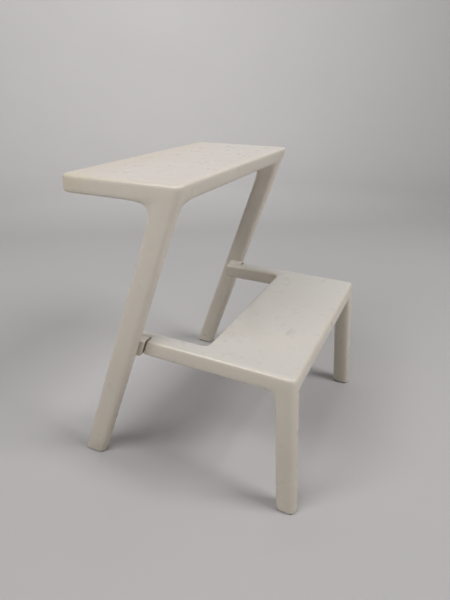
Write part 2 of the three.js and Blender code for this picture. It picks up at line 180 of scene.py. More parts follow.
def roundedRect(x0, x1, y0, y1, radius, steps=6):
    outline = []
    for turn, (cx, cy) in enumerate([(x1, y1), (x0, y1), (x0, y0), (x1, y0)]):
        sx, sy = (-1, 1)[cx == x0], (-1, 1)[cy == y0]
        for s in range(steps + 1):
            angle = (turn + s / steps) * math.pi / 2
            outline.append((cx + sx * radius + radius * math.cos(angle),
                            cy + sy * radius + radius * math.sin(angle)))
    return outline


def lathe(name, profile, put, around=64):
    # profile of (radius, level) from axis to axis, turned round; put(a, b, level) places it
    points, rings = [], []
    for radius, level in profile:
        if radius == 0:
            rings.append([len(points)])
            points.append(put(0, 0, level))
            continue
        rings.append(list(range(len(points), len(points) + around)))
        for s in range(around):
            angle = 2 * math.pi * s / around
            points.append(put(radius * math.cos(angle), radius * math.sin(angle), level))
    closing = [] if len(rings[0]) == 1 else rings[:1]   # a profile off the axis is a closed loop
    faces = []
    for near, far in zip(rings, rings[1:] + closing):
        for s in range(around):
            t = (s + 1) % around
            quad = [near[s % len(near)], near[t % len(near)], far[t % len(far)], far[s % len(far)]]
            faces.append(list(dict.fromkeys(quad)))
    return outward(newPiece(name, newMesh(name, points, faces)))


def seenFromAbove(a, b, level):
    return (a, b, level)


def seenFromSide(a, b, level):
    return (level, a, b)


def roundTheHinge(a, b, level):
    return (level, pivotY + a, pivotZ + b)


def cageOf(lines, filled, place, settle):
    # a one-piece moulding starts as a cage of cells, which subdivision then rounds
    # filled(i, j, k) says which cells between the lines are solid, place(i, j, k) is a corner
    # before it is bent, and settle(x, v, z) bends it to the finished shape
    counts = [len(line) for line in lines]
    cells = {(i, j, k)
             for i in range(counts[0] - 1) for j in range(counts[1] - 1) for k in range(counts[2] - 1)
             if filled(i, j, k)}
    axes = ((1, 0, 0), (0, 1, 0), (0, 0, 1))
    faces, used = [], {}
    for cell in sorted(cells):
        for axis in range(3):
            for way in (-1, 1):
                beside = tuple(c + way * a for c, a in zip(cell, axes[axis]))
                if beside in cells:
                    continue
                first, second = axes[(axis + 1) % 3], axes[(axis + 2) % 3]
                base = tuple(c + (a if way > 0 else 0) for c, a in zip(cell, axes[axis]))
                ring = [base,
                        tuple(b + f for b, f in zip(base, first)),
                        tuple(b + f + s for b, f, s in zip(base, first, second)),
                        tuple(b + s for b, s in zip(base, second))]
                ring = ring if way > 0 else ring[::-1]
                faces.append([used.setdefault(p, len(used)) for p in ring])
    points = [None] * len(used)
    for p, index in used.items():
        points[index] = settle(*rounded(p, cells, counts, place))
    return points, faces


def rounded(p, cells, counts, place):
    # pulls a lattice point in at a convex edge and out at a hollow one, by the next line's distance
    pulls = ([], [], [])
    here = place(*p)
    for along in range(3):
        b, c = (along + 1) % 3, (along + 2) % 3
        found = {}
        for end in (-1, 0):
            solid = []
            for sb in (-1, 0):
                for sc in (-1, 0):
                    cell = list(p)
                    cell[along] += end
                    cell[b] += sb
                    cell[c] += sc
                    solid.append(((2 * sb + 1, 2 * sc + 1), tuple(cell) in cells))
            full = [ways for ways, isFull in solid if isFull]
            bare = [ways for ways, isFull in solid if not isFull]
            if len(full) == 1:
                found[full[0]] = True
            if len(bare) == 1:
                found[bare[0]] = True
        for ways in found:
            for axis, way in zip((b, c), ways):
                neighbour = list(p)
                neighbour[axis] += way
                if 0 <= neighbour[axis] < counts[axis]:
                    reach = abs(place(*neighbour)[axis] - here[axis])
                    pulls[axis].append(way * arcPull * reach)
    return [h + sum(pull) * (1 if len(pull) < 2 else meetingPull) for h, pull in zip(here, pulls)]


def mirrored(half):
    return [-value for value in half[:0:-1]] + half


def ease(low, high, value):
    share = min(1.0, max(0.0, (value - low) / (high - low)))
    return share * share * (3 - 2 * share)


def mould(name, points, faces, levels=2):
    piece = newPiece(name, newMesh(name, points, faces))
    smooth = piece.modifiers.new("smooth", "SUBSURF")
    smooth.levels = smooth.render_levels = levels
    smooth.boundary_smooth = "PRESERVE_CORNERS"
    return bake(piece)


def upperCage():
    s = top
    under = s["height"] - s["thickness"]
    legIn = s["half"] - s["legWidth"]
    xs = mirrored([0, *s["spareX"], legIn - 2 * s["innerFillet"], legIn - s["innerFillet"], legIn,
                   legIn + s["corner"], s["half"] - s["corner"], s["half"]])
    vs = [0, s["corner"], s["legDepth"] / 2, s["legDepth"] - s["corner"], s["legDepth"],
          s["legDepth"] + s["rearFillet"], s["legDepth"] + 2 * s["rearFillet"], s["spareY"],
          s["depth"] - 2 * s["corner"], s["depth"] - s["corner"], s["depth"]]
    zs = [*footLevels, *s["spareZ"], under - 4 * s["rearFillet"], under - 2 * s["rearFillet"],
          under - s["rearFillet"], under, under + s["edge"], s["height"] - 2.5 * s["edge"],
          s["height"] - s["edge"], s["height"]]

    def filled(i, j, k):
        isPlate = zs[k] >= under
        isLeg = min(abs(xs[i]), abs(xs[i + 1])) >= legIn and vs[j + 1] <= s["legDepth"]
        return isPlate or isLeg

    def place(i, j, k):
        return xs[i], vs[j], zs[k]

    def settle(x, v, z):
        below = s["height"] - z
        leanShare = 1 - ease(s["legDepth"], s["depth"], v)
        splayShare = min(1.0, abs(x) / legIn)
        out = math.copysign(s["splay"] / s["height"] * below * splayShare, x)
        return x + out, s["front"] + v + s["run"] / s["height"] * below * leanShare, z

    return cageOf((xs, vs, zs), filled, place, settle)


def lowerCage():
    s = step
    under = s["height"] - s["thickness"]
    legIn = s["half"] - s["legWidth"]
    crisp = joint["crisp"]
    # each line across runs from its place at the leg to its place at the arm
    atLeg = mirrored([0, s["spareX"], legIn - 2.5 * s["innerFillet"], legIn - s["innerFillet"], legIn,
                      legIn + s["corner"], *[legIn + out for out in s["tongueAtLeg"]],
                      s["half"] - s["corner"], s["half"]])
    atArm = mirrored([0, s["spareX"], armInner - 2 * s["armFillet"], armInner - s["armFillet"], armInner,
                      armInner + s["edge"], tongueOuter - crisp, tongueOuter, tongueOuter + crisp,
                      s["half"] - s["edge"], s["half"]])
    tongueEnd = pivotY + joint["tongueEnd"] - s["front"]
    vs = [0, s["corner"], s["legDepth"] / 2, s["legDepth"] - s["corner"], s["legDepth"],
          s["legDepth"] + s["rearFillet"], s["legDepth"] + 2 * s["rearFillet"], s["spareStep"],
          s["depth"] - 2 * s["edge"], s["depth"] - s["edge"], s["depth"],
          s["depth"] + s["armFillet"], s["depth"] + 2 * s["armFillet"], s["spareArm"],
          ("end", -crisp), ("end", 0), ("end", crisp),
          tongueEnd - joint["tongueEnd"], tongueEnd - joint["tongueRound"], tongueEnd]
    zs = [*footLevels, *s["spareZ"], under - 2 * s["innerFillet"], under - s["innerFillet"], under,
          under + s["edge"], s["height"] - 2.5 * s["edge"], s["height"] - s["edge"], s["height"]]
    armEndAt = vs.index(("end", 0))
    backAt = vs.index(s["depth"])
    legBackAt = vs.index(s["legDepth"])

    def filled(i, j, k):
        near, far = sorted((abs(atArm[i]), abs(atArm[i + 1])))
        if zs[k] < under:
            return near >= armInner and j < legBackAt
        if j < backAt:
            return True
        return near >= armInner and (j < armEndAt or far <= tongueOuter)

    def place(i, j, k):
        v, z = vs[j], zs[k]
        if isinstance(v, tuple):  # these lines follow the slanted end of the arm
            ahead = (joint["armFace"] + (z - pivotZ) * math.sin(lean)) / math.cos(lean)
            v = pivotY - ahead - s["front"] + v[1]
        share = ease(s["legDepth"], s["depth"], v)
        return atLeg[i] * (1 - share) + atArm[i] * share, v, z

    def settle(x, v, z):
        below = s["height"] - z
        share = 1 - ease(s["legDepth"], s["depth"], v)
        splayShare = min(1.0, abs(x) / legIn) * share
        out = math.copysign(s["splay"] / s["height"] * below * splayShare, x)
        return x + out, s["front"] + v - s["run"] / s["height"] * below * share, z

    return cageOf((atArm, vs, zs), filled, place, settle)


def aheadOfPivot(distance, height):
    # a point square ahead of the pivot by the distance, as the leg leans, at a height above it
    return pivotY - (distance + height * math.sin(lean)) / math.cos(lean), pivotZ + height


def knuckle(side):
    # block on the leg's inner face, level with the arm; its lower corners stay close enough
    # to the pivot to pass the arm's end
    up, down = step["height"] - pivotZ, step["height"] - step["thickness"] - pivotZ
    swing = joint["armFace"] - joint["swingSlack"]
    outline = [aheadOfPivot(joint["knuckleFace"], up)]
    first, last = lean + math.acos(joint["knuckleFace"] / swing), math.asin(-down / swing)
    for s in range(joint["arcSteps"] + 1):
        angle = first + (last - first) * s / joint["arcSteps"]
        outline.append((pivotY - swing * math.cos(angle), pivotZ - swing * math.sin(angle)))
    outline.append((pivotY + math.sqrt(swing ** 2 - down ** 2), pivotZ + down))
    outline.append((pivotY + joint["tongueEnd"], pivotZ + up))
    outer = top["half"] - top["legWidth"] + top["splay"] * (1 - step["height"] / top["height"])
    block = prism("knuckle", outline, side * knuckleInner, side * (outer + joint["sunk"]), seenFromSide)
    return soften(block, joint["round"], 6)


class Flow:                       # one output of a node
    def __init__(self, sheet, socket):
        self.sheet = sheet
        self.socket = socket

    def sum(self, operation, first, second):
        return self.sheet.add("ShaderNodeMath", {"operation": operation}, {0: first, 1: second})

    def __add__(self, other):
        return self.sum("ADD", self, other)

    def __radd__(self, other):
        return self.sum("ADD", other, self)

    def __sub__(self, other):
        return self.sum("SUBTRACT", self, other)

    def __rsub__(self, other):
        return self.sum("SUBTRACT", other, self)

    def __mul__(self, other):
        return self.sum("MULTIPLY", self, other)

    def __rmul__(self, other):
        return self.sum("MULTIPLY", other, self)


class Sheet:                      # a node tree being written
    def __init__(self, tree):
        self.tree = tree

    def add(self, kind, settings=None, inputs=None, output=0):
        node = self.tree.nodes.new(kind)
        for key, value in (settings or {}).items():
            setattr(node, key, value)
        for key, value in (inputs or {}).items():
            if isinstance(value, Flow):
                self.tree.links.new(value.socket, node.inputs[key])
            else:
                node.inputs[key].default_value = value
        return Flow(self, node.outputs[output]) if len(node.outputs) else node


class Paint(Sheet):               # the tree of a material
    def __init__(self, name):
        self.material = bpy.data.materials.new(name)
        self.material.use_nodes = True
        super().__init__(self.material.node_tree)
        self.tree.nodes.clear()

    def place(self):
        return self.add("ShaderNodeTexCoord", output="Object")

    def noise(self, where, scale, detail=2.0, roughness=0.5):
        return self.add("ShaderNodeTexNoise", None,
                        {"Vector": where, "Scale": scale, "Detail": detail, "Roughness": roughness})

    def stretched(self, where, scale, turn=(0, 0, 0)):
        return self.add("ShaderNodeMapping", None,
                        {"Vector": where, "Scale": scale, "Rotation": turn})

    def fade(self, value, low, high):   # 0 below low, 1 above high, soft between
        return self.add("ShaderNodeMapRange", {"interpolation_type": "SMOOTHSTEP"},
                        {"Value": value, "From Min": low, "From Max": high})

    def blend(self, share, first, second):
        return self.add("ShaderNodeMix", {"data_type": "RGBA"},
                        {0: share, 6: first, 7: second}, output=2)

    def spot(self, where, centre, radius, core):
        apart = self.add("ShaderNodeVectorMath", {"operation": "DISTANCE"},
                         {0: where, 1: [c * mm for c in centre]}, output="Value")
        return 1 - self.fade(apart, radius * core * mm, radius * mm)

    def part(self, where, axis):
        return self.add("ShaderNodeSeparateXYZ", None, {0: where}, output=axis)

    def bump(self, height, strength, distance, below=None):
        inputs = {"Height": height, "Strength": strength, "Distance": distance * mm}
        if below is not None:
            inputs["Normal"] = below
        return self.add("ShaderNodeBump", None, inputs)

    def finish(self, inputs):
        shader = self.add("ShaderNodeBsdfPrincipled", None, inputs)
        self.add("ShaderNodeOutputMaterial", None, {0: shader})
        return self.material


shellLook = dict(
    side=(0.735, 0.680, 0.592, 1),        # upright faces and each tread get their own tone: painted light and shade for how the light falls on them
    upperTreadPaintedLight=(0.700, 0.650, 0.592, 1), lowerTreadPaintedShade=(0.645, 0.630, 0.606, 1),
    cloud=(0.665, 0.610, 0.520, 1), yellow=(0.66, 0.57, 0.42, 1),
    # painted shade: the legs' tone towards the floor
    lowLegShadeTone=(0.550, 0.495, 0.405, 1),
    grime=(0.30, 0.26, 0.20, 1), scuff=(0.42, 0.41, 0.39, 1), rust=(0.20, 0.105, 0.06, 1),
    clouded=0.45, yellowed=0.55,          # how much of each tone is laid on
    legShadeStrength=0.60, legShadeUpTo=0.42,     # how much painted shade darkens the legs, and up to which height, in metres
    footDirt=0.30, treadSmear=0.03, scratchTone=0.03, scratchDepth=0.08,
    rough=0.26, grain=0.12, wave=0.06, coat=0.35, coatRough=0.12)

marks = dict(                     # small marks of use, and painted shade of a small hole: place, radius, and the share that is full
    stepRing=((-58, -128, 243), 26, 0.6), stepSpeck=((-140, -46, 243), 4, 0.3),
    legScratch=((-214.5, 34, 410), 7, 0.2), frontScuff=((-203, -196, 53), 7, 0.25),
    # the last mark is painted shade: a dark dot where a small hole sits low on the far rear leg
    footHoleShade=((204.8, 174.3, 20.3), 2.2, 0.5))


def shellPlastic():
    look = shellLook
    sheet = Paint("off-white moulded plastic")
    where = sheet.place()
    height = sheet.part(where, "Z")
    along = sheet.part(where, "Y")
    facing = sheet.part(sheet.add("ShaderNodeNewGeometry", output="Normal"), "Z")
    tread = sheet.fade(facing, 0.75, 0.98)
    cloud = sheet.noise(where, 7, 3, 0.55)
    mottle = sheet.noise(where, 38, 4, 0.6)
    # painted light and shade: the upper tread lighter, the lower tread darker, upright faces their own
    # tone
    treadLightAndShade = sheet.blend(sheet.fade(height, 0.3, 0.4), look["lowerTreadPaintedShade"], look["upperTreadPaintedLight"])
    colour = sheet.blend(tread, look["side"], treadLightAndShade)
    colour = sheet.blend(sheet.fade(cloud, 0.45, 0.75) * look["clouded"], colour, look["cloud"])
    # yellower at the back of the top step; painted shade, darker and yellower, low on the legs
    yellowing = sheet.fade(along, 0.08, 0.20) * sheet.fade(height, 0.44, 0.49) * look["yellowed"]
    legShadeMask = (1 - sheet.fade(height, 0.0, look["legShadeUpTo"])) * look["legShadeStrength"]
    colour = sheet.blend(yellowing * (0.6 + 0.8 * mottle), colour, look["yellow"])
    colour = sheet.blend(legShadeMask, colour, look["lowLegShadeTone"])
    # rubbed-in dirt by the floor and on the treads
    grime = (1 - sheet.fade(height, 0.0, 0.05)) * sheet.fade(mottle, 0.42, 0.72) * look["footDirt"]
    smear = sheet.noise(sheet.stretched(where, (1, 3.2, 1), (0, 0, 0.5)), 22, 5, 0.65)
    grime = grime + tread * sheet.fade(smear, 0.52, 0.86) * look["treadSmear"]
    colour = sheet.blend(grime, colour, look["grime"])
    fineA = sheet.noise(sheet.stretched(where, (1, 34, 1), (0, 0, 0.35)), 46, 2)
    fineB = sheet.noise(sheet.stretched(where, (30, 1, 1), (0, 0, 0.2)), 40, 2)
    scratch = (sheet.fade(fineA, 0.79, 0.84) + sheet.fade(fineB, 0.80, 0.85)) * tread
    ring = sheet.spot(where, *marks["stepRing"]) * sheet.fade(smear, 0.50, 0.62) * 0.5
    speck = sheet.spot(where, *marks["stepSpeck"]) * 0.45
    nick = sheet.spot(where, *marks["legScratch"]) * sheet.fade(fineA, 0.55, 0.62) * 0.5
    worn = ring + speck + nick + scratch * look["scratchTone"]
    colour = sheet.blend(worn, colour, look["scuff"])
    rust = sheet.spot(where, *marks["frontScuff"]) * sheet.fade(mottle, 0.40, 0.60)
    # the dot is painted shade of a small hole; the front scuff is a rust mark
    holeShadeDot = sheet.spot(where, *marks["footHoleShade"])
    colour = sheet.blend(rust * 0.6 + holeShadeDot * 0.8, colour, look["rust"])
    grain = sheet.noise(where, 1300, 2, 0.6)
    relief = sheet.bump(sheet.noise(where, 26, 2), look["wave"], 0.25)
    relief = sheet.bump(grain - scratch * look["scratchDepth"], look["grain"], 0.05, relief)
    rough = look["rough"] + 0.12 * (mottle - 0.5) + worn * 0.2 + 0.06 * grain
    return sheet.finish({"Base Color": colour, "Roughness": rough, "Normal": relief,
                         "IOR": 1.5, "Coat Weight": look["coat"] * (1 - worn),
                         "Coat Roughness": look["coatRough"]})


# each is two tones in clouds with a fine relief; cloud and fine give a scale, a detail and a roughness
coverLook = dict(
    title="matt cover", first=(0.58, 0.54, 0.46, 1), second=(0.53, 0.48, 0.40, 1),
    cloud=(9, 3), fine=(900, 3, 0.7), rough=0.59, uneven=0.14, pitted=True, relief=(0.5, 0.08))

rubberLook = dict(
    title="dark rubber", first=(0.045, 0.042, 0.038, 1), second=(0.10, 0.092, 0.08, 1),
    cloud=(60, 4), fine=(1600, 3, 0.7), rough=0.72, uneven=0.2, relief=(0.6, 0.06), specular=0.35)

padLook = dict(                   # brown stop strips in the joints
    title="brown rubber", first=(0.190, 0.120, 0.082, 1), second=(0.270, 0.190, 0.140, 1),
    cloud=(90, 4), fine=(1500, 2), rough=0.62, uneven=0.2, relief=(0.5, 0.05))

steelLook = dict(
    title="zinc-plated steel", first=(0.62, 0.61, 0.58, 1), second=(0.46, 0.46, 0.47, 1),
    cloud=(220, 4), fine=(700, 2), stretch=(1, 1, 12), rough=0.37, uneven=0.22,
    relief=(0.25, 0.03), metallic=1.0)

bushLook = dict(
    title="white bearing plastic", first=(0.76, 0.75, 0.70, 1), second=(0.69, 0.67, 0.61, 1),
    cloud=(90, 3), fine=(1500, 2), rough=0.36, uneven=0.12, relief=(0.3, 0.03))

backdropLook = dict(
    title="pale backdrop", first=(0.510, 0.500, 0.505, 1), second=(0.475, 0.465, 0.470, 1),
    cloud=(1.6, 4), fine=(300, 3), rough=0.8, uneven=0.1, relief=(0.15, 0.2), specular=0.3)


def twoTone(look):
    sheet = Paint(look["title"])
    where = sheet.place()
    cloud = sheet.noise(where, *look["cloud"])
    fine = sheet.noise(sheet.stretched(where, look.get("stretch", (1, 1, 1))), *look["fine"])
    patches = fine if look.get("pitted") else cloud     # what the roughness follows
    return sheet.finish({"Base Color": sheet.blend(cloud, look["first"], look["second"]),
                         "Roughness": look["rough"] + look["uneven"] * (patches - 0.5),
                         "Normal": sheet.bump(fine, *look["relief"]),
                         "Metallic": look.get("metallic", 0.0),
                         "Specular IOR Level": look.get("specular", 0.5)})


materials = {
    "shell": shellPlastic(),
    "cover": twoTone(coverLook),
    "rubber": twoTone(rubberLook),
    "pad": twoTone(padLook),
    "steel": twoTone(steelLook),
    "bush": twoTone(bushLook),
}
print("materials:", len(materials))


def handIn(piece, body, slot, *nodes, finish=None):
    piece.data.materials.clear()
    piece.data.materials.append(materials[finish or slot])
    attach(piece, body)
    if nodes:
        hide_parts(*nodes)


hollow = dict(skin=6.0, ledge=4.0, cover=2.5, gap=0.3, corner=8.0, coverRound=0.4)

inside = dict(
    ribs=3, ribWidth=3.0, ribDrop=4.0, ribRound=0.5,
    post=6.0, postRound=0.4, hole=2.05, holeDepth=9.3, sunk=0.5)

screw = dict(
    radius=1.75, length=9.0, pitch=1.0, thread=0.25, tip=0.3,
    head=3.5, headHeight=1.4, dome=0.35, recess=1.5, play=0.3,
    headShape=((0.6, 0), (0.9, 0.4), (1, 1)),   # shares of the head's radius and of its dome
    slot=(5.2, 1.0, 0.8), seed=7)   # the slot's length, width and depth

cutter = dict(below=2.0, past=1.0)   # how far a cutting shape runs past what it cuts


def coverArea(node):              # a cover's outline says where its hollow is
    low, high = nodeBox(node)
    return low.x, high.x, low.y, high.y, low.z


def screwPlaces(unit):            # middle of the four screws, and how far apart they are
    boxes = [nodeBox(f"{unit}_screw_{number}") for number in range(1, 5)]
    xs = [(low.x + high.x) / 2 for low, high in boxes]
    ys = [(low.y + high.y) / 2 for low, high in boxes]
    middle = ((min(xs) + max(xs)) / 2, (min(ys) + max(ys)) / 2)
    return middle, (max(xs) - min(xs), max(ys) - min(ys))


def emptied(piece, node, height):
    x0, x1, y0, y1, bottom = coverArea(node)
    h = hollow
    shelf = prism("shelf", roundedRect(x0 - h["gap"], x1 + h["gap"], y0 - h["gap"], y1 + h["gap"],
                                       h["corner"]),
                  bottom - cutter["below"], bottom + h["cover"] + h["gap"], seenFromAbove)
    pocket = prism("pocket", roundedRect(x0 + h["ledge"], x1 - h["ledge"], y0 + h["ledge"],
                                         y1 - h["ledge"], h["corner"] / 2),
                   bottom, height - h["skin"], seenFromAbove)
    cut(shelf, pocket, "UNION")
    return cut(piece, shelf)


def footShape(node, gap):
    side = -1 if node.endswith("left") else 1
    leg = top if node.startswith("rear") else step
    forward = 1 if leg is top else -1
    inset = footing["inset"] - gap
    outer = leg["half"]
    outline = roundedRect(outer - leg["legWidth"] + inset, outer - inset,
                          leg["front"] + inset, leg["front"] + leg["legDepth"] - inset,
                          footing["corner"] + gap)

    def put(a, b, level):
        below = leg["height"] - level
        return (side * (a + leg["splay"] / leg["height"] * below),
                b + forward * leg["run"] / leg["height"] * below, level)
    return outline, put


def socketed(piece, node):        # room for a foot in the end of its leg
    outline, put = footShape(node, footing["gap"])
    room = prism("socket", outline, -cutter["below"], footing["thickness"] + footing["gap"], put)
    return cut(piece, room)


def drilled(piece, radius, start, end):   # a round hole on the hinge's axis
    return cut(piece, lathe("drill", [(0, start), (radius, start), (radius, end), (0, end)],
                            roundTheHinge))


def radiusOf(node):
    low, high = nodeBox(node)
    return (high.y - low.y) / 2


def farEnd(node, side):           # the end of a hinge part that is further out
    low, high = nodeBox(node)
    return high.x if side > 0 else low.x


def nearEnd(node, side):
    return farEnd(node, -side)


sides = (("left", -1), ("right", 1))

upper = mould("upper_moulding", *upperCage())
for name, side in sides:
    cut(upper, knuckle(side), "UNION")
    drilled(upper, radiusOf("hinge_pin_" + name) + joint["pinPlay"],
            side * tongueOuter, farEnd("hinge_pin_" + name, side) + side * joint["pinPlay"])
    drilled(upper, radiusOf("hinge_bush_" + name) + joint["pinPlay"],
            side * tongueOuter, side * (tongueOuter + joint["flangeRoom"]))
emptied(upper, "upper_cover", top["height"])
for name, side in sides:
    socketed(upper, "rear_foot_" + name)
polish(upper)
handIn(upper, "upper_unit", "shell", "upper_frame")

lower = mould("lower_moulding", *lowerCage())
emptied(lower, "lower_cover", step["height"])
for name, side in sides:
    drilled(lower, radiusOf("hinge_cap_" + name) + hollow["gap"],
            side * (armInner - cutter["past"]),
            farEnd("hinge_cap_" + name, side) + side * hollow["gap"])
    drilled(lower, radiusOf("hinge_pin_" + name) + joint["bushWall"] + joint["pinPlay"],
            side * (armInner + cutter["past"]), side * (tongueOuter + cutter["past"]))
    socketed(lower, "front_foot_" + name)
polish(lower)
handIn(lower, "lower_unit", "shell", "lower_frame")
print("mouldings:", len(upper.data.polygons), len(lower.data.polygons))


def foot(node):
    outline, put = footShape(node, 0)
    return soften(prism(node + "_rubber", outline, 0, footing["thickness"], put), footing["round"])


def hingeCap(name, side):
    node = "hinge_cap_" + name
    radius, face, back = radiusOf(node), nearEnd(node, side), farEnd(node, side)
    return lathe("cap_" + name, [(0, face), (radius - cap["flat"], face),
                                 (radius - cap["shoulder"], face + side * cap["dome"]),
                                 (radius, face + side * cap["edge"]), (radius, back), (0, back)],
                 roundTheHinge, around=72)


def hingePin(name, side):
    node = "hinge_pin_" + name
    radius, start, end = radiusOf(node), nearEnd(node, side), farEnd(node, side)
    point = joint["pinPoint"]
    return lathe("pin_" + name, [(0, start), (radius - point, start), (radius, start + side * point),
                                 (radius, end - side * point), (radius - point, end), (0, end)],
                 roundTheHinge, around=48)


def hingeBush(name, side):
    node = "hinge_bush_" + name
    bore = radiusOf("hinge_pin_" + name) + joint["bushPlay"]
    tube, rim = bore + joint["bushWall"], radiusOf(node)
    start, end = nearEnd(node, side), farEnd(node, side)
    shoulder = end - side * joint["flange"]
    edge = joint["bushRound"]
    return lathe("bush_" + name, [(bore, start), (tube - edge, start), (tube, start + side * edge),
                                  (tube, shoulder), (rim - edge, shoulder), (rim, shoulder + side * edge),
                                  (rim, end), (bore, end)], roundTheHinge, around=48)


def stopPad(name, side):          # rubber strip between the knuckle and the arm's cut end
    near = joint["knuckleFace"] + joint["padSlack"]
    far = joint["armFace"] - joint["padSlack"]
    low, high = -far * math.sin(lean), step["height"] - pivotZ - joint["padMargin"]
    outline = [aheadOfPivot(far, low), aheadOfPivot(far, high),
               aheadOfPivot(near, high), aheadOfPivot(near, low)]
    strip = prism("pad_" + name, outline, side * (knuckleInner + joint["padMargin"]),
                  side * (step["half"] - joint["padMargin"]), seenFromSide)
    return soften(strip, joint["padRound"], 2)


for name, side in sides:
    handIn(polish(foot("rear_foot_" + name)), "upper_unit", "rubber", "rear_foot_" + name)
    handIn(polish(foot("front_foot_" + name)), "lower_unit", "rubber", "front_foot_" + name)
    handIn(polish(hingeCap(name, side)), "lower_unit", "shell", "hinge_cap_" + name)
    handIn(polish(hingePin(name, side)), "upper_unit", "steel", "hinge_pin_" + name)
    handIn(polish(hingeBush(name, side)), "lower_unit", "bush", "hinge_bush_" + name)
    handIn(polish(stopPad(name, side)), "upper_unit", "rubber", "stop_pad_" + name, finish="pad")
print("hinge parts and feet ready")


def coverPlate(unit):
    x0, x1, y0, y1, bottom = coverArea(unit + "_cover")
    face = bottom + hollow["cover"]
    plate = prism(unit + "_cover_plate", roundedRect(x0, x1, y0, y1, hollow["corner"] - hollow["gap"]),
                  bottom, face, seenFromAbove)
    soften(plate, hollow["coverRound"], 2)
    (cx, cy), (spanX, spanY) = screwPlaces(unit)
    room, hole = screw["head"] + screw["play"], screw["radius"] + screw["play"]
    start, seat, end = bottom - cutter["past"], bottom + screw["recess"], face + cutter["past"]
    for wayX in (-0.5, 0.5):
        for wayY in (-0.5, 0.5):
            def put(a, b, level):
                return (cx + wayX * spanX + a, cy + wayY * spanY + b, level)
            cut(plate, lathe("recess", [(0, start), (room, start), (room, seat), (hole, seat),
                                        (hole, end), (0, end)], put, around=32))
    return polish(plate)


def screwSource():
    # a pan head at the origin with its face down, and a threaded shank above it
    s = screw
    profile = [(0, 0)] + [(s["head"] * out, s["dome"] * up) for out, up in s["headShape"]]
    profile += [(s["head"], s["headHeight"]), (s["radius"], s["headHeight"])]
    turns = int(s["length"] / s["pitch"]) - 1
    for turn in range(turns):
        level = s["headHeight"] + (turn + 0.5) * s["pitch"]
        profile += [(s["radius"] - s["thread"], level), (s["radius"], level + s["pitch"] / 2)]
    tip = s["headHeight"] + s["length"]
    profile += [(s["radius"] - s["thread"], tip - s["pitch"]), (s["tip"], tip), (0, tip)]
    piece = lathe("screw source", profile, seenFromAbove, around=32)
    length, width, depth = s["slot"]
    outline = roundedRect(-length / 2, length / 2, -width / 2, width / 2, width / 6, steps=2)
    return polish(cut(piece, prism("blade", outline, -cutter["past"], depth, seenFromAbove)), angle=25)


def postSource(tall):
    i = inside
    return polish(lathe("post source", [(i["hole"], 0), (i["post"] - i["postRound"], 0),
                                        (i["post"], i["postRound"]), (i["post"], tall), (0, tall),
                                        (0, i["holeDepth"]), (i["hole"], i["holeDepth"])],
                        seenFromAbove, around=40))


def ribSource(deep, tall):
    x, y = inside["ribWidth"] / 2, deep / 2
    rib = prism("rib source", [(-x, -y), (x, -y), (x, y), (-x, y)], 0, tall, seenFromAbove)
    return polish(soften(rib, inside["ribRound"], 2))


def gridTree():                   # sets copies of an object out in rows, each with its own turn
    tree = bpy.data.node_groups.new("copies in rows", "GeometryNodeTree")
    kinds = {"Source": "Object", "Centre": "Vector", "Spread X": "Float", "Spread Y": "Float",
             "Columns": "Int", "Rows": "Int", "Turn": "Float", "Seed": "Int", "Finish": "Material"}
    tree.interface.new_socket(name="Geometry", in_out="INPUT", socket_type="NodeSocketGeometry")
    for name, kind in kinds.items():
        tree.interface.new_socket(name=name, in_out="INPUT", socket_type="NodeSocket" + kind)
    tree.interface.new_socket(name="Geometry", in_out="OUTPUT", socket_type="NodeSocketGeometry")
    sheet = Sheet(tree)
    given = sheet.add("NodeGroupInput").socket.node
    wish = {name: Flow(sheet, given.outputs[name]) for name in kinds}
    grid = sheet.add("GeometryNodeMeshGrid", None,
                     {"Size X": wish["Spread X"], "Size Y": wish["Spread Y"],
                      "Vertices X": wish["Columns"], "Vertices Y": wish["Rows"]})
    placed = sheet.add("GeometryNodeTransform", None, {"Geometry": grid, "Translation": wish["Centre"]})
    source = sheet.add("GeometryNodeObjectInfo", None, {"Object": wish["Source"]}, output="Geometry")
    chance = sheet.add("FunctionNodeRandomValue", {"data_type": "FLOAT"}, {"Seed": wish["Seed"]},
                       output=1)
    turn = sheet.add("ShaderNodeCombineXYZ", None, {"Z": chance * wish["Turn"]})
    copies = sheet.add("GeometryNodeInstanceOnPoints", None,
                       {"Points": placed, "Instance": source, "Rotation": turn})
    whole = sheet.add("GeometryNodeRealizeInstances", None, {0: copies})
    painted = sheet.add("GeometryNodeSetMaterial", None, {"Geometry": whole, "Material": wish["Finish"]})
    sheet.add("NodeGroupOutput", None, {0: painted})
    return tree


copiesInRows = gridTree()


def repeated(name, source, wishes):
    piece = newPiece(name, bpy.data.meshes.new(name))
    rows = piece.modifiers.new("rows", "NODES")
    rows.node_group = copiesInRows
    wishes = {"Source": source, "Turn": 0.0, "Seed": screw["seed"], **wishes}
    for item in copiesInRows.interface.items_tree:
        if item.in_out == "INPUT" and item.name in wishes:
            rows[item.identifier] = wishes[item.name]
    bake(piece)
    bpy.data.objects.remove(source)
    return piece


